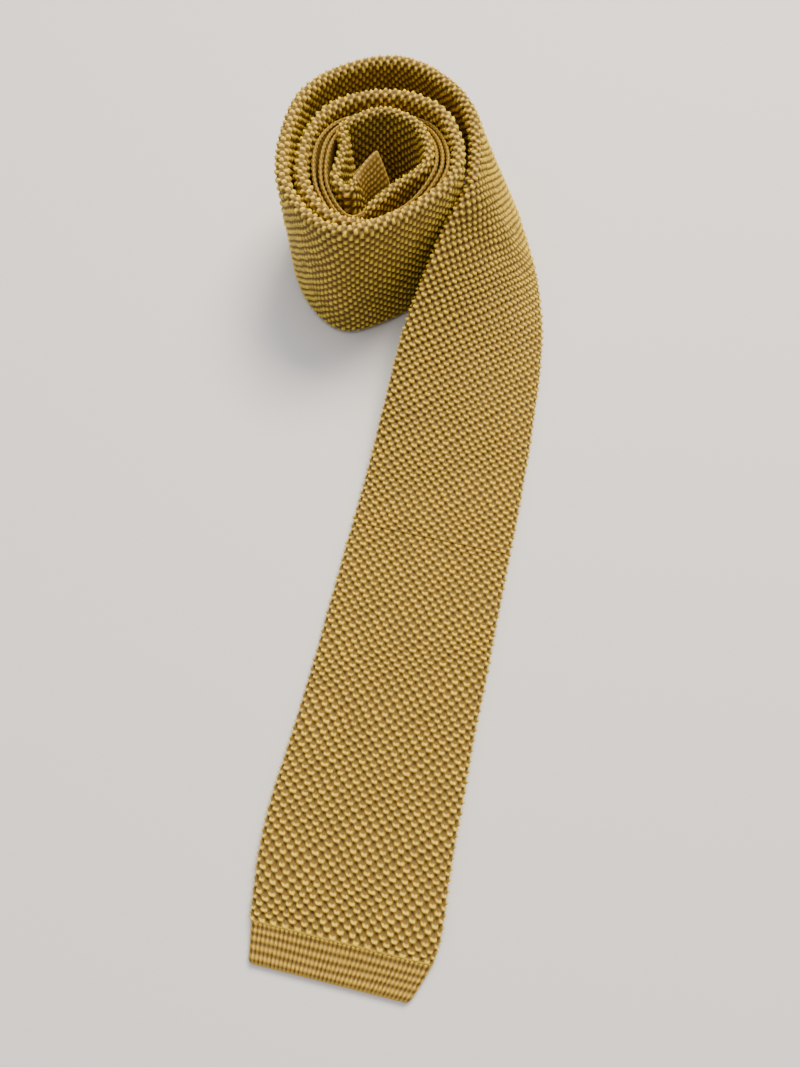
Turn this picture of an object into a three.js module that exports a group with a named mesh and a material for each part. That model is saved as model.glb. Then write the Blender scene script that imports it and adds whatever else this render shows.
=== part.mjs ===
// A knitted necktie, lying on a table with its wide end run out flat and the rest rolled up on edge.
// Millimetres, +Z up. The origin is on the table, under the middle of the whole tie.
//
// The tie is one flattened knitted tube. Its middle sheet is spanned between two rails: the edge that
// lies on the table, and the other edge, which lies flat at the wide end and is the roll's upper rim.
// Rows give both rails and run from the wide end inwards to the narrow end.

import * as THREE from 'three';

// Driving sizes of the cloth
const BLADE_WIDTH = 55;
const BLADE_ROOT_WIDTH = 47;
const BLADE_THICKNESS = 4.5;
const BAND_LENGTH = 10.3;
const BAND_THICKNESS = 3;
const NECK_WIDTH = 40;
const NECK_THICKNESS = 1.4;
const NARROW_WIDTH = 45;
const NARROW_THICKNESS = 3.4;
const NARROW_BAND_LENGTH = 13;
const NARROW_BAND_THICKNESS = 2.6;

// Driving sizes of the way it lies
const TAIL_LENGTH = 249;
const TAIL_ANGLE = 12.5;
const TAIL_SWING = 14;
const ROLL_RADIUS = 36;
const ROLL_SLACK = 10;
const NECK_RIDE = 7;

// Clearances, and the lengths over which the cloth's thickness changes at a seam
const SEAM_GAP = 0.3;
const SEAM_EASE = 9;

// The yarn
const BLADE_YARN = 0xb08f33;
const BAND_YARN = 0x9a7f2c;
const YARN_ROUGHNESS = 0.92;

// Fineness of the facets: the steps between rings, how many of them a body's last step may reach, the
// facets over the width, and the samples that a smooth curve gives between two rows
const FLAT_STEP = 6;
const ROLLED_STEP = 3.6;
const FOLDED_STEP = 2.6;
const LONGEST_STEP = 1.5;
const FACETS_ACROSS = 5;
const SAMPLES_PER_ROW = 30;

// The flat tail, from its wide end to the roll. run is the share of TAIL_LENGTH from the roll, swing
// the share of TAIL_SWING sideways, width the share of BLADE_WIDTH, lean the degrees that the far edge
// has risen, and turn the degrees that the row has turned from the tail's line.
const TAIL_ROWS = [
  { run: 1.0, swing: 0.86, width: 0.85, lean: 0, turn: 0 },
  { run: 0.965, swing: 0.93, width: 0.935, lean: 0, turn: 0 },
  { run: 0.93, swing: 0.92, width: 0.975, lean: 0, turn: 0 },
  { run: 0.86, swing: 0.83, width: 0.995, lean: 0, turn: 0 },
  { run: 0.72, swing: 0.87, width: 0.965, lean: 0, turn: 0 },
  { run: 0.56, swing: 0.92, width: 0.955, lean: 0, turn: 0 },
  { run: 0.4, swing: 0.96, width: 0.945, lean: 2, turn: 0 },
  { run: 0.28, swing: 0.94, width: 0.94, lean: 12, turn: 1 },
  { run: 0.19, swing: 0.86, width: 0.94, lean: 22, turn: 4 },
  { run: 0.12, swing: 0.71, width: 0.935, lean: 34, turn: 8 },
  { run: 0.055, swing: 0.42, width: 0.93, lean: 47, turn: 13 },
];

// The outer turn of the blade, on eight sides from the right round by the back. angle is seen from
// above, 0 to the right and 90 to the back, radius the share of ROLL_RADIUS to the upper rim, and
// facing the way that the outer face looks.
const OUTER_ROWS = [
  { angle: -20, radius: 0.91, lean: 59, facing: 9 },
  { angle: 35, radius: 0.99, lean: 69, facing: 32 },
  { angle: 80, radius: 1.06, lean: 78, facing: 75 },
  { angle: 130, radius: 0.93, lean: 88, facing: 130 },
  { angle: 175, radius: 0.845, lean: 90, facing: 175 },
  { angle: 215, radius: 0.965, lean: 91, facing: 215 },
  { angle: 250, radius: 1.04, lean: 88, facing: 250 },
  { angle: 295, radius: 0.795, lean: 90, facing: 295 },
];

// The inner turns on the same eight sides. gaps are the clear gaps from each turn to the one outside
// it, from the second turn inwards, as shares of ROLL_SLACK. The sixth turn is open and has only three
// sides. neckLift and narrowLift tell how far the narrower cloth rides up, as shares of NECK_RIDE.
const INNER_ROWS = [
  { gaps: [0.1, 0.04, 0.05, 0.06, 0.04], neckLift: 1.0, narrowLift: 0.4 },
  { gaps: [0.55, 0.04, 0.04, 0.04, 0.04], neckLift: 0.6, narrowLift: 0.5 },
  { gaps: [1.0, 0.04, 0.04, 0.04, 0.04], neckLift: 0.4, narrowLift: 0.7 },
  { gaps: [0.55, 0.04, 0.04, 0.04], neckLift: 0.6, narrowLift: 0.7 },
  { gaps: [0.18, 0.06, 0.12, 0.05], neckLift: 0.9, narrowLift: 0.4 },
  { gaps: [0.17, 0.14, 0.07, 0.04], neckLift: 0.5, narrowLift: 0.2 },
  { gaps: [0.12, 0.06, 0.04, 0.04], neckLift: 0.15, narrowLift: 0.1 },
  { gaps: [0.04, 0.04, 0.04, 0.42], neckLift: 0.4, narrowLift: 0.1 },
];

// The rows of the roll at which the neck and the narrow blade begin, counted from the outer turn's
// first, and the share of a row by which each seam comes before it.
const NECK_FROM_ROW = 15;
const NARROW_FROM_ROW = 39;
const NECK_SEAM_BEFORE = 0.5;
const NARROW_SEAM_BEFORE = 0.7;

// The fold of the narrow end, which lies along the inside of the neck. inset is its rim's distance
// from the neck's last turn and spread its foot's place outwards from the rim, both as shares of the
// eye's radius, facing the way that it spreads, and lift the share of NECK_RIDE.
const FOLD_ROWS = [
  { angle: 116, inset: 0.1, spread: 0, facing: 108, lift: 0.7 },
  { angle: 150, inset: 0.01, spread: 0, facing: 140, lift: 0.65 },
  { angle: 170, inset: 0.16, spread: -0.3, facing: 182, lift: 0.5 },
  { angle: 201, inset: 0.2, spread: -0.34, facing: 178, lift: 0.3 },
  { angle: 218, inset: 0.03, spread: -0.1, facing: 200, lift: 0.1 },
  { angle: 238, inset: 0.12, spread: 0.05, facing: 262, lift: 0.06 },
];

// The free flap of the narrow end, standing in the eye. x and y place its rim from the roll's middle,
// as shares of the eye's radius, and bow is the share of its width that its middle stands out.
const FLAP_ROWS = [
  { x: -0.41, y: -0.6, spread: 0.32, facing: 330, lift: 0.3, bow: 0.08 },
  { x: 0.0, y: -0.18, spread: 0.5, facing: 326, lift: 0.7, bow: 0.13 },
];

const ROWS_PER_TURN = OUTER_ROWS.length;

// A unit vector in plan at an angle in degrees.
function towards(degrees) {
  const angle = THREE.MathUtils.degToRad(degrees);
  return new THREE.Vector3(Math.cos(angle), Math.sin(angle), 0);
}

// One row of the sheet: its foot and its far edge, less half the cloth's thickness at each.
function makeRow(foot, across, bow = 0) {
  return { foot, rim: foot.clone().add(across), bow };
}

// The sheet's rise and spread over a width that leans by some degrees from the table.
function leaningAcross(width, lean, facing) {
  const angle = THREE.MathUtils.degToRad(lean);
  const across = towards(facing).multiplyScalar(-width * Math.cos(angle));
  across.z = width * Math.sin(angle);
  return across;
}

// The width, thickness and lift of the cloth at one row of the roll.
function clothAtRow(row) {
  const { neckLift, narrowLift } = INNER_ROWS[row % ROWS_PER_TURN];
  if (row >= NARROW_FROM_ROW) {
    return { width: NARROW_WIDTH, thickness: NARROW_THICKNESS, lift: narrowLift * NECK_RIDE };
  }
  if (row >= NECK_FROM_ROW) {
    return { width: NECK_WIDTH, thickness: NECK_THICKNESS, lift: neckLift * NECK_RIDE };
  }
  const widthAtTail = TAIL_ROWS.at(-1).width * BLADE_WIDTH;
  const width = THREE.MathUtils.lerp(widthAtTail, BLADE_ROOT_WIDTH, row / NECK_FROM_ROW);
  return { width, thickness: BLADE_THICKNESS, lift: 0 };
}

// The rows of the roll: the outer turn from its table, and each further turn from the gap to the last.
function rollRows() {
  const rows = [];
  const places = [];
  for (const outer of OUTER_ROWS) {
    const cloth = clothAtRow(rows.length);
    const across = leaningAcross(cloth.width - cloth.thickness, outer.lean, outer.facing);
    const radius = outer.radius * ROLL_RADIUS;
    const foot = towards(outer.angle).multiplyScalar(radius);
    foot.x -= across.x;
    foot.y -= across.y;
    rows.push(makeRow(foot, across));
    places.push({ angle: outer.angle, radius, thickness: cloth.thickness });
  }
  const innerTurns = Math.max(...INNER_ROWS.map((inner) => inner.gaps.length));
  for (let turn = 0; turn < innerTurns; turn += 1) {
    for (const inner of INNER_ROWS.filter(({ gaps }) => turn < gaps.length)) {
      const cloth = clothAtRow(rows.length);
      const outside = places.at(-ROWS_PER_TURN);
      const between = (outside.thickness + cloth.thickness) / 2;
      const radius = outside.radius - between - inner.gaps[turn] * ROLL_SLACK;
      const foot = towards(outside.angle).multiplyScalar(radius);
      foot.z = cloth.lift;
      rows.push(makeRow(foot, new THREE.Vector3(0, 0, cloth.width - cloth.thickness)));
      places.push({ angle: outside.angle, radius, thickness: cloth.thickness });
    }
  }
  return { rows, places };
}

// The rows of the flat tail, hung on the foot of the roll's first row.
function tailRows(root) {
  const along = towards(-90 - TAIL_ANGLE);
  const aside = towards(-TAIL_ANGLE);
  return TAIL_ROWS.map((row) => {
    const width = row.width * BLADE_WIDTH;
    const lean = THREE.MathUtils.degToRad(row.lean);
    const pulledIn = (Math.cos(lean) * (BLADE_WIDTH - width)) / 2;
    const foot = root.clone().addScaledVector(along, row.run * TAIL_LENGTH);
    foot.addScaledVector(aside, row.swing * TAIL_SWING - pulledIn);
    const across = leaningAcross(width - BLADE_THICKNESS, row.lean, row.turn - TAIL_ANGLE);
    return makeRow(foot, across);
  });
}

// The radius of the neck's last turn at an angle.
function neckRadiusAt(places, angle) {
  const lastTurn = places.slice(-ROWS_PER_TURN - 1);
  const after = lastTurn.findIndex((place) => place.angle > angle);
  const [low, high] = [lastTurn[after - 1], lastTurn[after]];
  const share = (angle - low.angle) / (high.angle - low.angle);
  return THREE.MathUtils.lerp(low.radius, high.radius, share);
}

// One row of the narrow end from the place of its rim, in millimetres.
function endRow(rim, row, eyeRadius) {
  const height = NARROW_WIDTH - NARROW_THICKNESS;
  const spread = towards(row.facing).multiplyScalar(row.spread * eyeRadius);
  const foot = rim.clone().add(spread);
  foot.z = row.lift * NECK_RIDE;
  const rise = Math.sqrt(height ** 2 - spread.lengthSq());
  return makeRow(foot, new THREE.Vector3(-spread.x, -spread.y, rise), row.bow);
}

// The rows of the narrow end: a fold along the inside of the neck, then a flap in the eye.
function endRows(places) {
  const eyeRadius = places.at(-1).radius;
  const between = (NECK_THICKNESS + NARROW_THICKNESS) / 2 + SEAM_GAP;
  const fold = FOLD_ROWS.map((row) => {
    const radius = neckRadiusAt(places, row.angle) - between - row.inset * eyeRadius;
    return endRow(towards(row.angle).multiplyScalar(radius), row, eyeRadius);
  });
  const flap = FLAP_ROWS.map((row) => {
    const rim = new THREE.Vector3(row.x * eyeRadius, row.y * eyeRadius, 0);
    return endRow(rim, row, eyeRadius);
  });
  return [...fold, ...flap];
}

// A smooth run of samples through the rows, each with the length of cloth from the wide end to it.
// Both rails stay on the table where the smooth curve would dip under it between two rows.
function sampleSheet(rows) {
  const feet = new THREE.CatmullRomCurve3(rows.map((row) => row.foot), false, 'centripetal');
  const rims = new THREE.CatmullRomCurve3(rows.map((row) => row.rim), false, 'centripetal');
  const samples = [];
  const count = (rows.length - 1) * SAMPLES_PER_ROW;
  let length = 0;
  for (let index = 0; index <= count; index += 1) {
    const foot = feet.getPoint(index / count);
    const rim = rims.getPoint(index / count);
    foot.z = Math.max(foot.z, 0);
    rim.z = Math.max(rim.z, 0);
    const middle = foot.clone().add(rim).multiplyScalar(0.5);
    const before = samples.at(-1);
    if (before) length += middle.distanceTo(before.middle);
    const row = Math.min(Math.floor(index / SAMPLES_PER_ROW), rows.length - 2);
    const share = index / SAMPLES_PER_ROW - row;
    const bow = THREE.MathUtils.lerp(rows[row].bow, rows[row + 1].bow, share);
    samples.push({ foot, rim, middle, length, bow });
  }
  return samples;
}

// The sheet at one length from the wide end: both rails, the bow and the way along.
function sheetAt(samples, length) {
  let after = samples.findIndex((sample) => sample.length >= length);
  if (after < 0) after = samples.length - 1;
  if (after === 0) after = 1;
  const low = samples[after - 1];
  const high = samples[after];
  const share = (length - low.length) / (high.length - low.length);
  return {
    foot: low.foot.clone().lerp(high.foot, share),
    rim: low.rim.clone().lerp(high.rim, share),
    bow: THREE.MathUtils.lerp(low.bow, high.bow, share),
    footWay: high.foot.clone().sub(low.foot),
    rimWay: high.rim.clone().sub(low.rim),
  };
}

// A closed loop of points round the cloth at one length: out along one face, round the rim's edge,
// back along the other face and round the foot's edge.
function loopAt(samples, length, thickness) {
  const sheet = sheetAt(samples, length);
  const raised = new THREE.Vector3(0, 0, thickness / 2);
  const foot = sheet.foot.clone().add(raised);
  const rim = sheet.rim.clone().add(raised);
  const across = rim.clone().sub(foot);
  const side = across.clone().normalize();
  const points = [];
  const facePoint = (share, sign) => {
    const way = sheet.footWay.clone().lerp(sheet.rimWay, share);
    const out = way.cross(side).normalize();
    const bulge = 4 * share * (1 - share) * sheet.bow * across.length();
    return foot
      .clone()
      .addScaledVector(across, share)
      .addScaledVector(out, bulge + (sign * thickness) / 2);
  };
  for (let index = 0; index <= FACETS_ACROSS; index += 1) {
    points.push(facePoint(index / FACETS_ACROSS, 1));
  }
  points.push(rim.clone().addScaledVector(side, thickness / 2));
  for (let index = FACETS_ACROSS; index >= 0; index -= 1) {
    points.push(facePoint(index / FACETS_ACROSS, -1));
  }
  points.push(foot.clone().addScaledVector(side, -thickness / 2));
  return points;
}

// The lengths of a body's rings, closer together where the cloth bends more.
function ringLengths(start, end, steps) {
  const lengths = [start];
  while (lengths.at(-1) < end) {
    const here = lengths.at(-1);
    const curvedStep = here < steps.foldStart ? ROLLED_STEP : FOLDED_STEP;
    const step = here < steps.flatEnd ? FLAT_STEP : curvedStep;
    lengths.push(here + step * LONGEST_STEP < end ? here + step : end);
  }
  return lengths;
}

// A closed body of cloth between two lengths. thicknessAt gives its thickness at a length.
function clothBody(samples, lengths, thicknessAt) {
  const rings = lengths.length;
  const positions = [];
  const triangles = [];
  let around = 0;
  for (const length of lengths) {
    const loop = loopAt(samples, length, thicknessAt(length));
    around = loop.length;
    loop.forEach((point) => positions.push(point.x, point.y, point.z));
  }
  for (let ring = 0; ring < rings - 1; ring += 1) {
    for (let index = 0; index < around; index += 1) {
      const next = (index + 1) % around;
      const here = ring * around;
      const there = here + around;
      triangles.push(here + index, there + next, here + next);
      triangles.push(here + index, there + index, there + next);
    }
  }
  // Each end is closed across its width, from one face to the other
  const lastRing = (rings - 1) * around;
  for (let index = 0; index < FACETS_ACROSS + 1; index += 1) {
    const front = index;
    const back = around - 2 - index;
    const closing = [front, around - 1, back];
    if (index > 0) {
      closing.splice(0, 3, front, front - 1, back + 1, front, back + 1, back);
    }
    for (let corner = 0; corner < closing.length; corner += 3) {
      const [a, b, c] = closing.slice(corner, corner + 3);
      triangles.push(a, c, b);
      triangles.push(lastRing + a, lastRing + b, lastRing + c);
    }
  }
  const tip = [FACETS_ACROSS, FACETS_ACROSS + 2, FACETS_ACROSS + 1];
  triangles.push(tip[0], tip[2], tip[1]);
  triangles.push(lastRing + tip[0], lastRing + tip[1], lastRing + tip[2]);
  const geometry = new THREE.BufferGeometry();
  geometry.setAttribute('position', new THREE.Float32BufferAttribute(positions, 3));
  geometry.setIndex(triangles);
  geometry.computeVertexNormals();
  return geometry;
}

// A thickness that eases from one value to another across the seam at a length.
function easedThickness(before, after, seam) {
  return (length) => {
    const share = THREE.MathUtils.smoothstep(length, seam - SEAM_EASE, seam + SEAM_EASE);
    return THREE.MathUtils.lerp(before, after, share);
  };
}

// A dull yarn of one colour
const yarn = (color) => new THREE.MeshStandardMaterial({ color, roughness: YARN_ROUGHNESS });

const roll = rollRows();
const sheetRows = [...tailRows(roll.rows[0].foot), ...roll.rows, ...endRows(roll.places)];
const samples = sampleSheet(sheetRows);

// Lengths from the wide end to each seam and change of step
const lengthAtRow = (row) => samples[Math.round((TAIL_ROWS.length + row) * SAMPLES_PER_ROW)].length;
const neckStart = lengthAtRow(NECK_FROM_ROW - NECK_SEAM_BEFORE);
const narrowStart = lengthAtRow(NARROW_FROM_ROW - NARROW_SEAM_BEFORE);
const tieLength = samples.at(-1).length;
const narrowBandStart = tieLength - NARROW_BAND_LENGTH;
const firstLean = TAIL_ROWS.findIndex((row) => row.lean > 0);
const steps = {
  flatEnd: lengthAtRow(firstLean - TAIL_ROWS.length),
  foldStart: lengthAtRow(roll.rows.length - 1),
};

const bandEase = easedThickness(BAND_THICKNESS, BLADE_THICKNESS, BAND_LENGTH);
const neckEase = easedThickness(BLADE_THICKNESS, NECK_THICKNESS, neckStart);
const narrowEase = easedThickness(NECK_THICKNESS, NARROW_THICKNESS, narrowStart);
const endEase = easedThickness(NARROW_THICKNESS, NARROW_BAND_THICKNESS, narrowBandStart);

const pieces = [
  { name: 'wide_end_band', end: BAND_LENGTH, thickness: bandEase, color: BAND_YARN },
  {
    name: 'wide_blade',
    end: neckStart,
    thickness: (length) => Math.min(bandEase(length), neckEase(length)),
    color: BLADE_YARN,
  },
  {
    name: 'neck_section',
    end: narrowStart,
    thickness: (length) => Math.max(neckEase(length), narrowEase(length)),
    color: BAND_YARN,
  },
  {
    name: 'narrow_blade',
    end: narrowBandStart,
    thickness: (length) => Math.min(narrowEase(length), endEase(length)),
    color: BLADE_YARN,
  },
  { name: 'narrow_end_band', end: tieLength + SEAM_GAP / 2, thickness: endEase, color: BAND_YARN },
];

const group = new THREE.Group();
let seam = -SEAM_GAP / 2;
for (const piece of pieces) {
  const lengths = ringLengths(seam + SEAM_GAP / 2, piece.end - SEAM_GAP / 2, steps);
  const mesh = new THREE.Mesh(clothBody(samples, lengths, piece.thickness), yarn(piece.color));
  mesh.name = piece.name;
  group.add(mesh);
  seam = piece.end;
}

// The origin goes on the table, under the middle of the whole tie
const box = new THREE.Box3().setFromObject(group, true);
const middle = box.getCenter(new THREE.Vector3());
group.position.set(-middle.x, -middle.y, -box.min.z);

export default group;
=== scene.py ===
"""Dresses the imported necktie: its cloth gets the real knit, and it lies on a pale table.

The cloth is one flattened tube. Its middle sheet is spanned between two rails, the foot that lies
on the table and the rim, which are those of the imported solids. Stitches raise and hollow it.
Everything is worked out in millimetres and made in metres.
"""

import logging
import math
from dataclasses import dataclass, field
from enum import Enum
from typing import Sequence

import bpy
import numpy as np
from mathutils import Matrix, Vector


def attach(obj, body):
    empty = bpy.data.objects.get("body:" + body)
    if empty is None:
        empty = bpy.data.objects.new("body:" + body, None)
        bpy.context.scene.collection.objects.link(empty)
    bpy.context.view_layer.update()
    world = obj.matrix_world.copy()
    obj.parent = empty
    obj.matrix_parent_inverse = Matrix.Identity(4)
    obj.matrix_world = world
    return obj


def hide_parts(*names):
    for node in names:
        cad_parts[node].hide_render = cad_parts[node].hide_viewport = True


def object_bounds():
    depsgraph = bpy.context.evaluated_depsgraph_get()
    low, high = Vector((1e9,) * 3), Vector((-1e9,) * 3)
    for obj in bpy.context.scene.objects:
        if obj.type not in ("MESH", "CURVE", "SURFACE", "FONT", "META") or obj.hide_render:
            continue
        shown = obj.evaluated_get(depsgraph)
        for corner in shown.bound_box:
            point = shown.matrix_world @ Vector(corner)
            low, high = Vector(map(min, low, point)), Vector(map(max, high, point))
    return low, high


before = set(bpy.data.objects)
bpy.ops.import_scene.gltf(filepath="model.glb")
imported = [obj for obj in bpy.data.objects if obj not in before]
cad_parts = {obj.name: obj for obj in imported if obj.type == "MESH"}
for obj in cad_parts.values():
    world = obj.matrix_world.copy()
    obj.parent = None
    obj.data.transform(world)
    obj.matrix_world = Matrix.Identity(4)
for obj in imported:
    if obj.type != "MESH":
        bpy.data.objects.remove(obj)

LOG = logging.getLogger("necktie")
CAD_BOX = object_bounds()
MM = 0.001

# Below these, a vector has no direction and two points are the same
NO_LENGTH = 1e-12
SAME_PLACE = 1e-4

# Half the distance over which a rail's direction is taken, in millimetres
RAIL_STEP = 0.8

# The lowest that the cloth comes to the table, in millimetres
TABLE_GAP = 0.02


# Small tools


def unit(vectors: np.ndarray) -> np.ndarray:
    """Scales vectors to length one.

    Args:
        vectors: vectors along the last axis.

    Returns:
        The same directions, each one long.
    """
    return vectors / np.maximum(np.linalg.norm(vectors, axis=-1, keepdims=True), NO_LENGTH)


def towards(degrees: float) -> np.ndarray:
    """A unit vector in plan, 0 to the right and 90 to the back."""
    angle = math.radians(degrees)
    return np.array([math.cos(angle), math.sin(angle), 0.0])


def linear(hex_colour: str) -> tuple[float, float, float, float]:
    """Turns an sRGB hex value into a linear colour.

    Args:
        hex_colour: six hex digits, such as "c7a846".

    Returns:
        Linear red, green, blue and an alpha of one.
    """
    parts = [int(hex_colour[i : i + 2], 16) / 255 for i in (0, 2, 4)]
    curved = [c / 12.92 if c <= 0.04045 else ((c + 0.055) / 1.055) ** 2.4 for c in parts]
    return (curved[0], curved[1], curved[2], 1.0)


def smoothstep(low: float, high: float, at: np.ndarray) -> np.ndarray:
    """Eases from 0 at low to 1 at high."""
    share = np.clip((at - low) / (high - low), 0, 1)
    return share * share * (3 - 2 * share)


def wander(a: np.ndarray, b: np.ndarray, seed: int) -> np.ndarray:
    """Smooth unevenness over a plane, repeatable from its seed.

    Args:
        a: first coordinate, in waves.
        b: second coordinate, in waves.
        seed: picks the pattern.

    Returns:
        Values of about -1 to 1.
    """
    waves, closer_by, usual_sum = 5, 0.45, 2.6
    rng = np.random.default_rng(seed)
    total = np.zeros(np.broadcast(a, b).shape)
    for wave in range(waves):
        turn, phase = rng.uniform(0, math.tau, 2)
        rate = 1.0 + closer_by * wave
        total += np.sin(rate * (a * math.cos(turn) + b * math.sin(turn)) * math.tau + phase)
    return total / usual_sum


def dice(i: np.ndarray, j: np.ndarray, seed: int) -> np.ndarray:
    """One repeatable random value from -1 to 1 for each stitch.

    Args:
        i: the stitch's number across.
        j: the stitch's number along.
        seed: picks the pattern.

    Returns:
        The values. They are the fractions of a steep sine at uneven steps.
    """
    across, along, apart, steepness = 12.9898, 78.233, 37.719, 43758.5453
    mixed = np.sin(i * across + j * along + seed * apart) * steepness
    return 2 * (mixed - np.floor(mixed)) - 1


# The shape of the cloth


@dataclass
class Cloth:
    """The sizes of the cloth and the way it lies, the same as in the part's source."""

    blade_width: float = 55
    blade_root_width: float = 47
    blade_thickness: float = 4.5
    band_length: float = 10.3
    band_thickness: float = 3
    neck_width: float = 40
    neck_thickness: float = 1.4
    narrow_width: float = 45
    narrow_thickness: float = 3.4
    narrow_band_length: float = 13
    narrow_band_thickness: float = 2.6
    tail_length: float = 249
    tail_angle: float = 12.5
    tail_swing: float = 14
    roll_radius: float = 36
    roll_slack: float = 10
    neck_ride: float = 7
    seam_gap: float = 0.3
    seam_ease: float = 9
    samples_per_row: int = 30
    neck_from_row: int = 15
    narrow_from_row: int = 39
    neck_seam_before: float = 0.5
    narrow_seam_before: float = 0.7


# The tail's rows from the wide end: run, swing and width as shares, lean and turn in degrees
TAIL_ROWS = (
    (1.0, 0.86, 0.85, 0, 0),
    (0.965, 0.93, 0.935, 0, 0),
    (0.93, 0.92, 0.975, 0, 0),
    (0.86, 0.83, 0.995, 0, 0),
    (0.72, 0.87, 0.965, 0, 0),
    (0.56, 0.92, 0.955, 0, 0),
    (0.4, 0.96, 0.945, 2, 0),
    (0.28, 0.94, 0.94, 12, 1),
    (0.19, 0.86, 0.94, 22, 4),
    (0.12, 0.71, 0.935, 34, 8),
    (0.055, 0.42, 0.93, 47, 13),
)

# The outer turn's rows: angle, radius as a share, lean, and the way that the face looks
OUTER_ROWS = (
    (-20, 0.91, 59, 9),
    (35, 0.99, 69, 32),
    (80, 1.06, 78, 75),
    (130, 0.93, 88, 130),
    (175, 0.845, 90, 175),
    (215, 0.965, 91, 215),
    (250, 1.04, 88, 250),
    (295, 0.795, 90, 295),
)

# The inner turns at each angle: gaps to the turn outside, then how far the foot of the neck and
# the foot of the narrow blade ride over the table
INNER_ROWS = (
    ((0.1, 0.04, 0.05, 0.06, 0.04), 1.0, 0.4),
    ((0.55, 0.04, 0.04, 0.04, 0.04), 0.6, 0.5),
    ((1.0, 0.04, 0.04, 0.04, 0.04), 0.4, 0.7),
    ((0.55, 0.04, 0.04, 0.04), 0.6, 0.7),
    ((0.18, 0.06, 0.12, 0.05), 0.9, 0.4),
    ((0.17, 0.14, 0.07, 0.04), 0.5, 0.2),
    ((0.12, 0.06, 0.04, 0.04), 0.15, 0.1),
    ((0.04, 0.04, 0.04, 0.42), 0.4, 0.1),
)

# The fold along the inside of the neck: angle, inset, spread of the foot, its way, and lift
FOLD_ROWS = (
    (116, 0.1, 0, 108, 0.7),
    (150, 0.01, 0, 140, 0.65),
    (170, 0.16, -0.3, 182, 0.5),
    (201, 0.2, -0.34, 178, 0.3),
    (218, 0.03, -0.1, 200, 0.1),
    (238, 0.12, 0.05, 262, 0.06),
)

# The flap in the eye: place of the rim, spread of the foot, its way, lift, and bow of the middle
FLAP_ROWS = (
    (-0.41, -0.6, 0.32, 330, 0.3, 0.08),
    (0.0, -0.18, 0.5, 326, 0.7, 0.13),
)


@dataclass
class Row:
    """One row of the sheet: its foot, its rim, and its middle's bow as a share of the width."""

    foot: np.ndarray
    rim: np.ndarray
    bow: float = 0.0


def leaning_across(width: float, lean: float, facing: float) -> np.ndarray:
    """The way from the foot to the rim of a row that leans.

    Args:
        width: the row's width in millimetres.
        lean: how far it leans up from the table, in degrees.
        facing: the way in plan that its foot stands off, in degrees.

    Returns:
        The vector from the foot to the rim.
    """
    angle = math.radians(lean)
    across = towards(facing) * (-width * math.cos(angle))
    across[2] = width * math.sin(angle)
    return across


def smooth_curve(points: Sequence[np.ndarray], per_row: int) -> np.ndarray:
    """A centripetal Catmull-Rom curve through the points.

    Args:
        points: the points that it passes through.
        per_row: how many samples it gives between two of them.

    Returns:
        The samples, one per line.
    """
    p = [2 * points[0] - points[1], *points, 2 * points[-1] - points[-2]]
    share = (np.arange(per_row) / per_row)[:, None]
    out = []
    for x0, x1, x2, x3 in zip(p, p[1:], p[2:], p[3:]):
        dt0, dt1, dt2 = (math.dist(a, b) ** 0.5 for a, b in ((x0, x1), (x1, x2), (x2, x3)))
        dt1 = dt1 if dt1 > SAME_PLACE else 1.0
        dt0 = dt0 if dt0 > SAME_PLACE else dt1
        dt2 = dt2 if dt2 > SAME_PLACE else dt1
        t1 = ((x1 - x0) / dt0 - (x2 - x0) / (dt0 + dt1) + (x2 - x1) / dt1) * dt1
        t2 = ((x2 - x1) / dt1 - (x3 - x1) / (dt1 + dt2) + (x3 - x2) / dt2) * dt1
        c2 = -3 * x1 + 3 * x2 - 2 * t1 - t2
        c3 = 2 * x1 - 2 * x2 + t1 + t2
        out.append(x1 + share * (t1 + share * (c2 + share * c3)))
    return np.vstack([*out, points[-1][None]])


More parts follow.
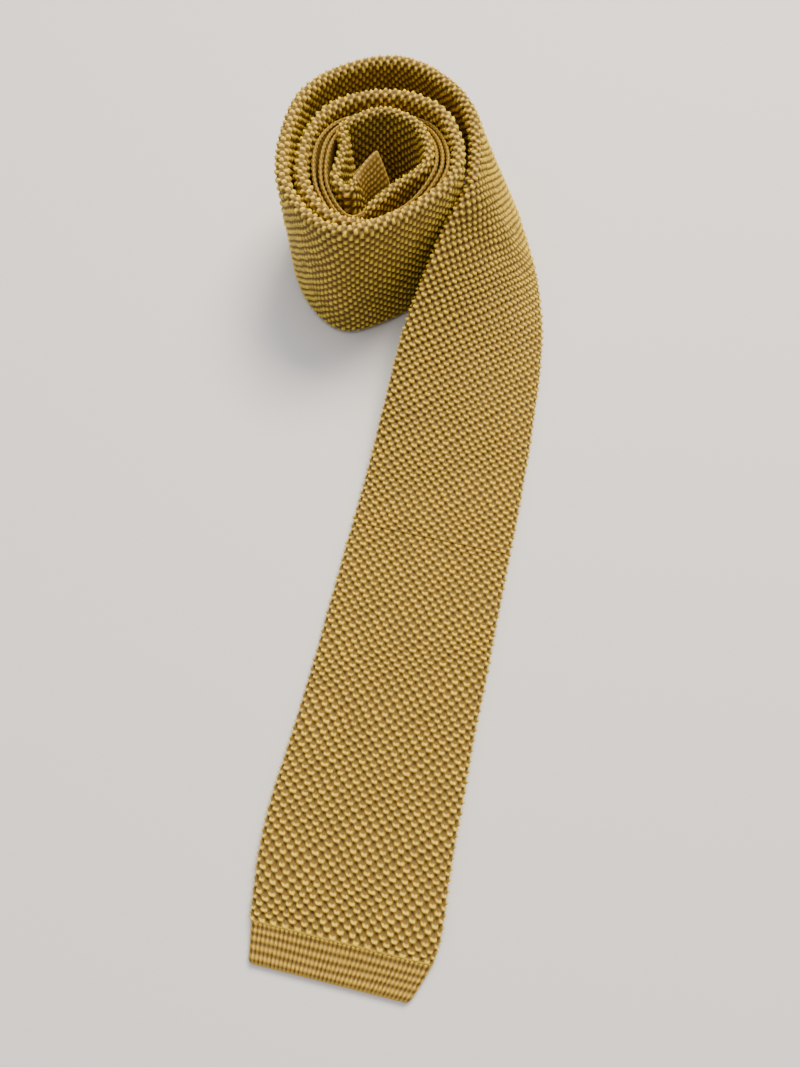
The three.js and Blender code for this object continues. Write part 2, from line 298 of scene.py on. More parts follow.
class Strip:
    """The middle sheet of the whole tie, from the wide end inwards to the narrow end."""

    def __init__(self, cloth: Cloth) -> None:
        """Lays out the rows and samples both rails.

        Args:
            cloth: the sizes to build from.
        """
        self.cloth = cloth
        roll, places = self._roll_rows()
        rows = [*self._tail_rows(roll[0].foot), *roll, *self._end_rows(places)]
        self.foot = smooth_curve([r.foot for r in rows], cloth.samples_per_row)
        self.rim = smooth_curve([r.rim for r in rows], cloth.samples_per_row)
        self.foot[:, 2] = np.maximum(self.foot[:, 2], 0)
        self.rim[:, 2] = np.maximum(self.rim[:, 2], 0)
        middle = (self.foot + self.rim) / 2
        steps = np.linalg.norm(np.diff(middle, axis=0), axis=1)
        self.length = np.concatenate([[0], np.cumsum(steps)])
        places_along = np.arange(len(self.length)) / cloth.samples_per_row
        self.bow = np.interp(places_along, np.arange(len(rows)), [r.bow for r in rows])
        self.total = float(self.length[-1])
        self.neck_start = self.length_at_row(cloth.neck_from_row - cloth.neck_seam_before)
        self.narrow_start = self.length_at_row(cloth.narrow_from_row - cloth.narrow_seam_before)
        self.narrow_band_start = self.total - cloth.narrow_band_length
        self.shift = np.zeros(3)

    def length_at_row(self, row: float) -> float:
        """The length from the wide end to a row of the roll."""
        return float(self.length[round((len(TAIL_ROWS) + row) * self.cloth.samples_per_row)])

    def _cloth_at_row(self, row: int) -> tuple[float, float, float]:
        """The width, thickness and lift of the cloth at one row of the roll."""
        c = self.cloth
        _, neck_lift, narrow_lift = INNER_ROWS[row % len(OUTER_ROWS)]
        if row >= c.narrow_from_row:
            return c.narrow_width, c.narrow_thickness, narrow_lift * c.neck_ride
        if row >= c.neck_from_row:
            return c.neck_width, c.neck_thickness, neck_lift * c.neck_ride
        at_tail = TAIL_ROWS[-1][2] * c.blade_width
        width = at_tail + (c.blade_root_width - at_tail) * row / c.neck_from_row
        return width, c.blade_thickness, 0.0

    def _roll_rows(self) -> tuple[list[Row], list[tuple[float, float, float]]]:
        """The roll's rows, each turn set inside the last.

        Returns:
            The rows, and the angle, radius and thickness of each.
        """
        rows: list[Row] = []
        places: list[tuple[float, float, float]] = []
        for angle, share, lean, facing in OUTER_ROWS:
            width, thickness, _ = self._cloth_at_row(len(rows))
            across = leaning_across(width - thickness, lean, facing)
            radius = share * self.cloth.roll_radius
            foot = towards(angle) * radius - across * np.array([1, 1, 0])
            rows.append(Row(foot, foot + across))
            places.append((angle, radius, thickness))
        for turn in range(max(len(gaps) for gaps, _, _ in INNER_ROWS)):
            for gaps, _, _ in INNER_ROWS:
                if turn >= len(gaps):
                    continue
                width, thickness, lift = self._cloth_at_row(len(rows))
                angle, outside, outside_thickness = places[-len(OUTER_ROWS)]
                between = (outside_thickness + thickness) / 2
                radius = outside - between - gaps[turn] * self.cloth.roll_slack
                foot = towards(angle) * radius + np.array([0, 0, lift])
                rows.append(Row(foot, foot + np.array([0, 0, width - thickness])))
                places.append((angle, radius, thickness))
        return rows, places

    def _tail_rows(self, root: np.ndarray) -> list[Row]:
        """The rows of the flat tail, hung on the foot of the roll's first row."""
        c = self.cloth
        along, aside = towards(-90 - c.tail_angle), towards(-c.tail_angle)
        rows = []
        for run, swing, share, lean, turn in TAIL_ROWS:
            width = share * c.blade_width
            pulled_in = math.cos(math.radians(lean)) * (c.blade_width - width) / 2
            foot = root + along * (run * c.tail_length)
            foot = foot + aside * (swing * c.tail_swing - pulled_in)
            across = leaning_across(width - c.blade_thickness, lean, turn - c.tail_angle)
            rows.append(Row(foot, foot + across))
        return rows

    def _end_row(self, rim: np.ndarray, spread: float, facing: float, lift: float, bow: float,
                 eye: float) -> Row:
        """One row of the narrow end from the place of its rim.

        Args:
            rim: the rim's place in plan.
            spread: how far the foot stands off in plan, as a share of the eye.
            facing: the way that it stands off.
            lift: the foot's height, as a share of the ride over the table.
            bow: how far the row's middle stands out, as a share of the width.
            eye: the radius of the eye.

        Returns:
            The row, whose width is that of the narrow blade.
        """
        c = self.cloth
        height = c.narrow_width - c.narrow_thickness
        outwards = towards(facing) * (spread * eye)
        foot = rim + outwards
        foot[2] = lift * c.neck_ride
        rise = math.sqrt(height**2 - float(outwards @ outwards))
        return Row(foot, foot + np.array([-outwards[0], -outwards[1], rise]), bow)

    def _end_rows(self, places: list[tuple[float, float, float]]) -> list[Row]:
        """The fold along the inside of the neck, then the flap in the eye.

        Args:
            places: the angle, radius and thickness of each row of the roll.

        Returns:
            The rows, from the roll to the narrow end.
        """
        c = self.cloth
        eye = places[-1][1]
        last = places[-len(OUTER_ROWS) - 1 :]
        between = (c.neck_thickness + c.narrow_thickness) / 2 + c.seam_gap
        rows = []
        for angle, inset, spread, facing, lift in FOLD_ROWS:
            after = next(i for i, place in enumerate(last) if place[0] > angle)
            low, high = last[after - 1], last[after]
            share = (angle - low[0]) / (high[0] - low[0])
            neck = low[1] + (high[1] - low[1]) * share
            rim = towards(angle) * (neck - between - inset * eye)
            rows.append(self._end_row(rim, spread, facing, lift, 0.0, eye))
        for x, y, spread, facing, lift, bow in FLAP_ROWS:
            rim = np.array([x * eye, y * eye, 0.0])
            rows.append(self._end_row(rim, spread, facing, lift, bow, eye))
        return rows

    def rails_at(self, length: np.ndarray) -> tuple[np.ndarray, np.ndarray, np.ndarray]:
        """Foot, rim and bow at lengths from the wide end.

        Args:
            length: the lengths in millimetres.

        Returns:
            The feet, the rims and how far the middles stand out, as shares of the width.
        """
        foot, rim = (
            np.stack([np.interp(length, self.length, rail[:, k]) for k in range(3)], axis=-1)
            for rail in (self.foot, self.rim)
        )
        return foot, rim, np.interp(length, self.length, self.bow)

    def thickness_at(self, length: np.ndarray) -> np.ndarray:
        """The cloth's thickness, which eases from one knit to the next at each seam."""
        c = self.cloth
        stops = (
            (c.band_length, c.band_thickness, c.blade_thickness),
            (self.neck_start, c.blade_thickness, c.neck_thickness),
            (self.narrow_start, c.neck_thickness, c.narrow_thickness),
            (self.narrow_band_start, c.narrow_thickness, c.narrow_band_thickness),
        )
        value = np.full(np.shape(length), float(c.band_thickness))
        for seam, before, after in stops:
            value += (after - before) * smoothstep(seam - c.seam_ease, seam + c.seam_ease, length)
        return value


# The knit


class Stitch(Enum):
    """The knits that the tie is made in."""

    TUCK = "raised stitches in staggered rows, with deep holes between them"
    FINE_RIB = "fine wales crossed by rows of small holes"
    PLAIN = "fine, close wales"


@dataclass(frozen=True)
class Gauge:
    """How long the stitches are and how far they stand up, in millimetres.

    The ground lies under the cloth's nominal face, and uneven is their sway across in stitches.
    """

    stitch: Stitch
    course: float
    crest: float
    ground: float
    hollow: float
    uneven: float


TUCK_KNIT = Gauge(Stitch.TUCK, course=3.0, crest=0.58, ground=-0.36, hollow=0.6, uneven=0.1)
NARROW_KNIT = Gauge(Stitch.TUCK, course=2.8, crest=0.48, ground=-0.32, hollow=0.5, uneven=0.1)
BAND_KNIT = Gauge(Stitch.FINE_RIB, course=2.1, crest=0.3, ground=-0.2, hollow=0.22, uneven=0.03)
FLAP_KNIT = Gauge(Stitch.PLAIN, course=1.7, crest=0.32, ground=-0.1, hollow=0.26, uneven=0.2)
FINE_KNIT = Gauge(Stitch.PLAIN, course=1.8, crest=0.3, ground=-0.14, hollow=0.3, uneven=0.08)


@dataclass(frozen=True)
class TuckShape:
    """One raised stitch and the hole beyond it, in shares of a pair of stitches."""

    leg_rise: float = 0.07
    curl: float = 1.5
    set_back: float = 0.03
    half_width: float = 0.235
    half_height: float = 0.145
    side_steepness: float = 2.6
    notch_depth: float = 0.6
    notch_half_width: float = 0.075
    notch_half_height: float = 0.1
    notch_at: float = 0.11
    uneven: float = 0.22
    hole_at: float = 0.6
    hole_half_width: float = 0.1
    hole_half_height: float = 0.17
    hole_steepness: float = 2.5
    hole_sway: float = 0.05
    size_seed: int = 3
    sway_seed: int = 7


@dataclass(frozen=True)
class RibShape:
    """The band's ridges, loops and upright holes, in shares of a stitch or of the crest."""

    ridge: float = 0.35
    loop: float = 0.5
    loop_uneven: float = 0.25
    loop_on_ridge: float = 0.4
    hole_half_width: float = 0.17
    hole_half_height: float = 0.24
    hole: float = 0.75
    hole_uneven: float = 0.35
    seed: int = 4


@dataclass(frozen=True)
class PlainShape:
    """The fine knit's wales and small hollows, in shares of a stitch or of the crest."""

    wale: float = 0.5
    hole_half_width: float = 0.26
    hole_half_height: float = 0.3


TUCK, RIB, PLAIN = TuckShape(), RibShape(), PlainShape()


def tuck_relief(gauge: Gauge, wale: np.ndarray, course: np.ndarray) -> np.ndarray:
    """The relief of the tuck stitch.

    Args:
        gauge: its heights.
        wale: place across, in stitch pairs.
        course: place along, in stitch pairs, growing towards the narrow end.

    Returns:
        Height over the cloth's nominal face, in millimetres.
    """
    legs = TUCK.leg_rise * gauge.crest * (1 - np.cos(2 * wale * math.tau))
    height = gauge.ground + legs
    for half in (0.0, 0.5):
        i, j = np.round(wale - half), np.round(course - half)
        a, b = wale - half - i, course - half - j
        smile = b - TUCK.curl * a * a + TUCK.set_back
        steep = np.abs(smile / TUCK.half_height) ** TUCK.side_steepness
        bump = np.exp(-((a / TUCK.half_width) ** 4) - steep)
        dent = ((b - TUCK.notch_at) / TUCK.notch_half_height) ** 2
        notch = 1 - TUCK.notch_depth * np.exp(-((a / TUCK.notch_half_width) ** 2) - dent)
        size = 1 + TUCK.uneven * dice(i, j, TUCK.size_seed)
        height += (gauge.crest - gauge.ground - legs) * bump * notch * size
        over = course - half - TUCK.hole_at
        beyond = np.abs((over - np.round(over)) / TUCK.hole_half_height)
        side = a - TUCK.hole_sway * dice(i, j, TUCK.sway_seed)
        hole = np.exp(-((side / TUCK.hole_half_width) ** 2) - beyond**TUCK.hole_steepness)
        height -= gauge.hollow * hole
    return height


def fine_rib_relief(gauge: Gauge, wale: np.ndarray, course: np.ndarray) -> np.ndarray:
    """The relief of the wide end's band: ridges across, and rows of small upright holes.

    Args:
        gauge: its heights.
        wale: place across, in stitches.
        course: place along, in stitches.

    Returns:
        Height over the cloth's nominal face, in millimetres.
    """
    a, b = wale - np.round(wale), course - np.round(course)
    ridge = np.cos((b - 0.5) * math.tau)
    uneven = dice(np.round(wale), np.round(course), RIB.seed)
    loops = np.cos((wale + 0.5) * math.tau)
    loops = loops * (1 - RIB.loop_on_ridge + RIB.loop_on_ridge * ridge)
    loops = loops * (RIB.loop + RIB.loop_uneven * uneven)
    upright = np.abs(b / RIB.hole_half_height) ** 3
    hole = np.exp(-((a / RIB.hole_half_width) ** 2) - upright)
    hole = hole * (RIB.hole + RIB.hole_uneven * uneven)
    return gauge.ground + gauge.crest * (RIB.ridge * ridge + loops) - gauge.hollow * hole


def plain_relief(gauge: Gauge, wale: np.ndarray, course: np.ndarray) -> np.ndarray:
    """The relief of the fine knit: close wales, with a small hollow at each stitch.

    Args:
        gauge: its heights.
        wale: place across, in stitches.
        course: place along, in stitches.

    Returns:
        Height over the cloth's nominal face, in millimetres.
    """
    shifted = course + 0.5 * np.mod(np.round(wale), 2)
    a, b = wale - np.round(wale), shifted - np.round(shifted)
    hole = np.exp(-((a / PLAIN.hole_half_width) ** 2) - ((b / PLAIN.hole_half_height) ** 2))
    wales = np.cos(wale * math.tau) * PLAIN.wale
    return gauge.ground + gauge.crest * wales - gauge.hollow * hole


RELIEFS = {
    Stitch.TUCK: tuck_relief,
    Stitch.FINE_RIB: fine_rib_relief,
    Stitch.PLAIN: plain_relief,
}


@dataclass(frozen=True)
class Unevenness:
    """How knitted cloth strays from its nominal shape, in millimetres.

    The stitches drift along the cloth and sway across it, and thick cloth swells and thins. The
    drift and the swelling ease off towards the ends of a piece.
    """

    face_width: float = 50
    eases_over: float = 4
    drift: float = 0.4
    drift_along: float = 60
    drift_across: float = 45
    drift_seed: int = 5
    swell: float = 0.2
    swell_along: float = 38
    swell_across: float = 30
    swell_seed: int = 8
    swells_from: float = 2
    sway_over: float = 17
    sway_seed: int = 11


UNEVEN = Unevenness()


@dataclass(frozen=True)
class Hem:
    """How a closed end rounds off: its rings, and what it keeps of thickness and relief."""

    length: float = 1.6
    rings_at: tuple[float, ...] = (0, 0.1, 0.3)
    clear_of_rings: float = 0.5
    thickness_kept: float = 0.1
    relief_kept: float = 0.3


HEM = Hem()

# A pair of tuck stitches is this much wider than it is long
TUCK_SPREAD = 1.12


@dataclass(frozen=True)
class Fineness:
    """How many facets each stitch has, on the outer face, edges and inner face, and along."""

    outer: float
    edge: float
    inner: float
    courses: float


@dataclass
class KnitPiece:
    """One length of the flattened tube, knitted in one gauge.

    The loop round the tube starts at the foot's edge, runs up the outer face, which is the tail's
    top face, turns over at the rim and runs down the inner face.
    """

    name: str
    node: str
    start: float
    end: float
    gauge: Gauge
    wales_face: float
    wales_edge: int
    fineness: Fineness
    held: str
    first_course: float = 0.0
    fades_start: float = 0.0
    rim_bias: float = 1.0
    closes_start: bool = False
    closes_end: bool = False

    def _around(self) -> tuple[np.ndarray, np.ndarray, np.ndarray]:
        """Lays out the loop's columns, closer together towards the rim where rim_bias is over one.

        Returns:
            For each column: its part (0 foot edge, 1 outer face, 2 rim edge, 3 inner face), its
            share of that part, and its place in wales.
        """
        f = self.fineness
        half = self.wales_edge / 2
        parts = (
            (0, 0.5, 1.0, half, f.edge, 0.0),
            (1, 0.0, 1.0, self.wales_face, f.outer, half),
            (2, 0.0, 1.0, self.wales_edge, f.edge, half + self.wales_face),
            (3, 0.0, 1.0, self.wales_face, f.inner, 3 * half + self.wales_face),
            (0, 0.0, 0.5, half, f.edge, 3 * half + 2 * self.wales_face),
        )
        part_of, share_of, wale_of = [], [], []
        for part, low, high, wales, per_wale, first in parts:
            count = max(2, round(wales * per_wale))
            share = np.arange(count) / count
            if part == 1:
                share = 1 - (1 - share) ** self.rim_bias
            if part == 3:
                share = share**self.rim_bias
            part_of.append(np.full(count, part))
            share_of.append(low + (high - low) * share)
            wale_of.append(first + wales * share)
        return np.concatenate(part_of), np.concatenate(share_of), np.concatenate(wale_of)

    def build(self, strip: Strip) -> bpy.types.Object:
        """Makes the piece's mesh and object.

        Args:
            strip: the sheet that it follows.

        Returns:
            The finished object, at the origin.
        """
        courses = (self.end - self.start) / self.gauge.course
        rings = max(3, round(courses * self.fineness.courses) + 1)
        along = np.linspace(self.start, self.end, rings)
        rings_in, clear = HEM.length * np.array(HEM.rings_at), HEM.clear_of_rings * HEM.length
        if self.closes_start:
            along = np.concatenate([self.start + rings_in, along[along > self.start + clear]])
        if self.closes_end:
            along = np.concatenate([along[along < self.end - clear], self.end - rings_in[::-1]])
        part, share, wale = self._around()
        points, relief = self._surface(strip, along, part, share, wale)
        rim_column = int(np.argmax((part == 2) & (share >= 0.5)))
        mesh = self._mesh(points, rim_column)
        self._paint(mesh, relief, wale, along)
        made = bpy.data.objects.new(self.name, mesh)
        bpy.context.scene.collection.objects.link(made)
        return made

    def _surface(self, strip: Strip, along: np.ndarray, part: np.ndarray, share: np.ndarray,
                 wale: np.ndarray) -> tuple[np.ndarray, np.ndarray]:
        """Places every vertex: the plain tube first, then the stitches on it.

        Args:
            strip: the sheet that it follows.
            along: the rings' lengths from the wide end.
            part: the part of the loop that each column is in.
            share: each column's share of its part.
            wale: each column's place in wales.

        Returns:
            Points as rings by columns by 3, in millimetres, and the relief that raised them.
        """
        length, wales = np.meshgrid(along, wale, indexing="ij")
        parts, shares = np.broadcast_to(part, length.shape), np.broadcast_to(share, length.shape)
        aside = wales * (UNEVEN.face_width / self.wales_face)
        drift = wander(length / UNEVEN.drift_along, aside / UNEVEN.drift_across, UNEVEN.drift_seed)
        from_ends = np.minimum(length - self.start, self.end - length)
        inside = smoothstep(0, UNEVEN.eases_over, from_ends)
        moved = length + UNEVEN.drift * drift * inside
        foot, rim, bow = strip.rails_at(moved)
        before, before_rim, _ = strip.rails_at(moved - RAIL_STEP)
        after, after_rim, _ = strip.rails_at(moved + RAIL_STEP)
        nominal, hem_share = strip.thickness_at(moved), self._hem_share(length)
        swell = wander(length / UNEVEN.swell_along, aside / UNEVEN.swell_across, UNEVEN.swell_seed)
        thickness = nominal * hem_share
        thickness += UNEVEN.swell * swell * inside * (nominal > UNEVEN.swells_from)
        for rail in (foot, rim):
            rail[..., 2] += nominal / 2
        across = rim - foot
        width = np.linalg.norm(across, axis=-1)
        side = across / width[..., None]
        up_share = np.select([parts == 1, parts == 2, parts == 3], [shares, 1.0, 1 - shares], 0.0)
        up = up_share[..., None]
        way = (after - before) * (1 - up) + (after_rim - before_rim) * up
        out = unit(np.cross(way, side))
        bulge = 4 * up_share * (1 - up_share) * bow * width
        centre = foot + across * up + out * bulge[..., None]
        turn = np.select([parts == 1, parts == 3], [0.0, math.pi], shares * math.pi)
        turn = np.where(parts == 0, turn + math.pi, turn)
        normal = out * np.cos(turn)[..., None] + side * np.sin(turn)[..., None]
        sway = wander(length / UNEVEN.sway_over, aside / UNEVEN.sway_over, UNEVEN.sway_seed)
        courses = (length - self.start) / self.gauge.course + self.first_course
        make_relief = RELIEFS[self.gauge.stitch]
        relief = make_relief(self.gauge, wales + self.gauge.uneven * sway, courses)
        if self.fades_start:
            relief = relief * smoothstep(0, self.fades_start, length - self.start)
        relief = relief * (HEM.relief_kept + (1 - HEM.relief_kept) * hem_share**2)
        points = centre + normal * (thickness / 2 + relief)[..., None] + strip.shift
        points[..., 2] = np.maximum(points[..., 2], TABLE_GAP)
        return points, relief

    def _hem_share(self, length: np.ndarray) -> np.ndarray:
        """The share of its thickness that the cloth keeps where an end rounds off."""
        share = np.ones(np.shape(length))
        ends = ((self.closes_start, length - self.start), (self.closes_end, self.end - length))
        for closes, gone in ends:
            if closes:
                left = np.clip(1 - gone / HEM.length, 0, 1)
                rounded = np.sqrt(1 - left**2)
                share = share * ((1 - HEM.thickness_kept) * rounded + HEM.thickness_kept)
        return share

    def _mesh(self, points: np.ndarray, rim_column: int) -> bpy.types.Mesh:
        """Joins the rings into one closed tube, with flat ends.

        Args:
            points: rings by columns by 3, in millimetres.
            rim_column: the column at the tip of the rim.

        Returns:
            The mesh, in metres.
        """
        rings, around = points.shape[:2]
        index = np.arange(rings * around).reshape(rings, around)
        ahead = np.roll(index, -1, axis=1)
        sides = np.stack([index[:-1], index[1:], ahead[1:], ahead[:-1]], axis=-1).reshape(-1, 4)
        faces = sides.tolist()
        for ring, flip in ((index[0], True), (index[-1], False)):
            faces.extend(self._cap(ring, rim_column, flip))
        mesh = bpy.data.meshes.new(self.name)
        mesh.from_pydata((points.reshape(-1, 3) * MM).tolist(), [], faces)
        mesh.update()
        # The ends are flat, so that the knit's shading runs on from one piece to the next
        mesh.polygons.foreach_set("use_smooth", np.arange(len(faces)) < len(sides))
        return mesh

    @staticmethod
    def _cap(ring: np.ndarray, rim_column: int, flip: bool) -> list[list[int]]:
        """Closes one end of the tube by zipping its outer face to its inner one.

        Args:
            ring: the vertices of the end's loop.
            rim_column: the column at the rim's tip.
            flip: whether the faces look back towards the start.

        Returns:
            The faces that close it.
        """
        up = ring[: rim_column + 1].tolist()
        down = [ring[0], *ring[: rim_column - 1 : -1].tolist()]
        faces, i, j = [], 0, 0
        while i < len(up) - 1 or j < len(down) - 1:
            behind = i / (len(up) - 1) <= j / (len(down) - 1)
            if i < len(up) - 1 and (behind or j == len(down) - 1):
                corner = [up[i], up[i + 1], down[j]]
                i += 1
            else:
                corner = [up[i], down[j + 1], down[j]]
                j += 1
            if len(set(corner)) == 3:
                faces.append(corner if flip else corner[::-1])
        return faces

    def _paint(self, mesh: bpy.types.Mesh, relief: np.ndarray, wale: np.ndarray,
               along: np.ndarray) -> None:
        """Stores what the yarn's finish reads: the relief, which places its painted shade and
        painted highlight, and a map in metres of cloth.

        Args:
            mesh: the piece's mesh.
            relief: the height of each vertex over the nominal face, in millimetres.
            wale: the columns' places in wales.
            along: the rings' lengths from the wide end.
        """
        g = self.gauge
        low = g.ground - g.hollow
        high = g.crest if g.stitch is Stitch.TUCK else g.ground + g.crest
        # Share of the relief from the holes to the crests, which the yarn's colour ramp turns into
        # painted shade and painted highlight
        shade_by_relief = np.clip((relief - low) / (high - low), 0, 1).astype(np.float32).ravel()
        mesh.attributes.new("relief", "FLOAT", "POINT").data.foreach_set("value", shade_by_relief)
        pitch = g.course * (TUCK_SPREAD if g.stitch is Stitch.TUCK else 1)
        across = np.append(wale, 2 * (self.wales_face + self.wales_edge)) * pitch * MM
        around = len(wale)
        corner = np.empty(len(mesh.loops), np.int64)
        mesh.loops.foreach_get("vertex_index", corner)
        ring, column = corner // around, corner % around
        at_seam = np.zeros(len(mesh.loops), bool)
        sides = (len(along) - 1) * around * 4
        quad = np.arange(sides // 4) % around == around - 1
        at_seam[:sides] = np.repeat(quad, 4) & (column[:sides] == 0)
        column = np.where(at_seam, around, column)
        spot = np.stack([across[column], (along[ring] - self.start) * MM], axis=-1)
        mesh.uv_layers.new(name="cloth").data.foreach_set("uv", spot.astype(np.float32).ravel())


# The finishes


def add_node(tree: bpy.types.NodeTree, kind: str, settings: dict | None = None,
             links: dict | None = None, **values: object) -> bpy.types.Node:
    """Adds one node with its settings and its links.

    Args:
        tree: the tree that it goes into.
        kind: the node's type.
        settings: properties of the node.
        links: input name or number to the output socket that feeds it.
        values: inputs by name, with _ for a space, that hold a value of their own.

    Returns:
        The node.
    """
    node = tree.nodes.new(kind)
    for name, value in (settings or {}).items():
        setattr(node, name, value)
    for name, value in values.items():
        node.inputs[name.replace("_", " ")].default_value = value
    for name, socket in (links or {}).items():
        tree.links.new(socket, node.inputs[name])
    return node


# How far apart the wave texture's stripes are at a scale of one
STRIPES_APART = 0.314


@dataclass(frozen=True)
class KnitYarn:
    """A twisted cotton yarn with a soft lustre, its crests lit by a painted highlight and its
    holes browned by painted shade.

    The eye sees golden raised stitches over a ground darkened by painted shade, with a fine mottle
    from loose hairs.
    Lengths are in millimetres, and places and tones are shares.
    """

    name: str
    crest: str
    ground: str
    hollow: str
    ground_at: float
    crest_at: float
    hollow_at: float = 0.1
    roughness: float = 0.6
    roughness_spread: float = 0.08
    specular: float = 0.3
    sheen: float = 0.04
    sheen_tint: str = "f2dc94"
    patch: float = 9
    patch_tone: float = 0.1
    hair: float = 0.16
    hair_tone: float = 0.22
    strand: float = 0.42
    strand_slant: float = 35
    strand_depth: float = 0.1

    def material(self) -> bpy.types.Material:
        """Builds the yarn.

        Returns:
            The material, which reads the piece's relief attribute and its map of the cloth.
        """
        made = bpy.data.materials.new(self.name)
        made.use_nodes = True
        tree = made.node_tree
        tree.nodes.clear()
        relief = add_node(tree, "ShaderNodeAttribute", {"attribute_name": "relief"})
        place = add_node(tree, "ShaderNodeUVMap", {"uv_map": "cloth"})
        solid = add_node(tree, "ShaderNodeTexCoord")
        # The relief sets the yarn's colour: painted shade darkens the ground and the holes, and a
        # painted highlight lightens the crests
        shade_by_relief = add_node(tree, "ShaderNodeValToRGB", links={"Fac": relief.outputs["Fac"]})
        ramp = shade_by_relief.color_ramp
        ramp.elements[0].color = linear(self.hollow)
        ramp.elements[0].position = self.hollow_at
        ramp.elements[1].color = linear(self.crest)
        ramp.elements[1].position = self.crest_at
        middle = ramp.elements.new(self.ground_at)
        middle.color = linear(self.ground)
        # Dye takes unevenly along the yarn, in patches
        patches = add_node(tree, "ShaderNodeTexNoise", links={"Vector": solid.outputs["Object"]},
                           Scale=1 / (self.patch * MM), Detail=2.0)
        # Hairs and plies are seen as a fine mottle
        hairs = add_node(tree, "ShaderNodeTexNoise", links={"Vector": place.outputs["UV"]},
                         Scale=1 / (self.hair * 2 * MM), Detail=3.0, Roughness=0.6)
        patch_tone = add_node(tree, "ShaderNodeMapRange", links={"Value": patches.outputs["Fac"]},
                              To_Min=1 - self.patch_tone, To_Max=1 + self.patch_tone)
        hair_tone = add_node(tree, "ShaderNodeMapRange", links={"Value": hairs.outputs["Fac"]},
                             To_Min=1 - self.hair_tone, To_Max=1 + self.hair_tone)
        tone = add_node(tree, "ShaderNodeMath", {"operation": "MULTIPLY"},
                        {0: patch_tone.outputs[0], 1: hair_tone.outputs[0]})
        colour = add_node(tree, "ShaderNodeVectorMath", {"operation": "SCALE"},
                          {0: shade_by_relief.outputs["Color"], "Scale": tone.outputs[0]})
        # The strands of the twisted yarn lie slantwise, each as wide as the gap to the next
        turned = add_node(tree, "ShaderNodeMapping", links={"Vector": place.outputs["UV"]},
                          Rotation=(0, 0, math.radians(self.strand_slant)))
        strands = add_node(tree, "ShaderNodeTexWave", {"wave_type": "BANDS"},
                           {"Vector": turned.outputs["Vector"]},
                           Scale=STRIPES_APART / (self.strand * MM) / 2, Distortion=2.5,
                           Detail=1.0)
        rise = add_node(tree, "ShaderNodeMath", {"operation": "ADD"},
                        {0: strands.outputs["Fac"], 1: hairs.outputs["Fac"]})
        bump = add_node(tree, "ShaderNodeBump", links={"Height": rise.outputs[0]},
                        Strength=0.5, Distance=self.strand_depth * MM)
        rough = add_node(tree, "ShaderNodeMapRange", links={"Value": hairs.outputs["Fac"]},
                         To_Min=self.roughness - self.roughness_spread,
                         To_Max=self.roughness + self.roughness_spread)
        yarn = add_node(tree, "ShaderNodeBsdfPrincipled",
                        links={"Base Color": colour.outputs[0], "Normal": bump.outputs[0],
                               "Roughness": rough.outputs[0]},
                        Sheen_Weight=self.sheen, Sheen_Roughness=0.45,
                        Sheen_Tint=linear(self.sheen_tint), IOR=1.5,
                        Specular_IOR_Level=self.specular)
        add_node(tree, "ShaderNodeOutputMaterial", links={"Surface": yarn.outputs[0]})
        return made


# The crest colours are a painted highlight, and the ground and hollow colours are painted shade
# over the yarn's own tone
DOTTED_YARN = KnitYarn("mercerised_cotton_yarn_tuck_knit", crest="ffd942", ground="80631e",
                       hollow="46300e", ground_at=0.48, crest_at=0.82)
FINE_YARN = KnitYarn("mercerised_cotton_yarn_fine_knit", crest="e6b83c", ground="987829",
                     hollow="5a4416", ground_at=0.38, crest_at=0.88)


@dataclass(frozen=True)
class TableTop:
    """A matt, pale painted top that takes a soft shadow, with a roller texture in millimetres."""

    name: str = "matt_painted_board"
    colour: str = "e9e6e1"
    roughness: float = 0.7
    roller: float = 2
    roller_depth: float = 0.05

    def material(self) -> bpy.types.Material:
        """Builds the paint."""
        made = bpy.data.materials.new(self.name)
        made.use_nodes = True
        tree = made.node_tree
        tree.nodes.clear()
        place = add_node(tree, "ShaderNodeTexCoord")
        roller = add_node(tree, "ShaderNodeTexNoise", links={"Vector": place.outputs["Object"]},
                          Scale=1 / (self.roller * MM), Detail=2.0)
        bump = add_node(tree, "ShaderNodeBump", links={"Height": roller.outputs["Fac"]},
                        Strength=0.15, Distance=self.roller_depth * MM)
        paint = add_node(tree, "ShaderNodeBsdfPrincipled", links={"Normal": bump.outputs[0]},
                         Base_Color=linear(self.colour), Roughness=self.roughness)
        add_node(tree, "ShaderNodeOutputMaterial", links={"Surface": paint.outputs[0]})
        return made


# The tie

# How many places along the strip its flat width and its plan are measured at
FLAT_SAMPLES = 40
PLACE_SAMPLES = 3000


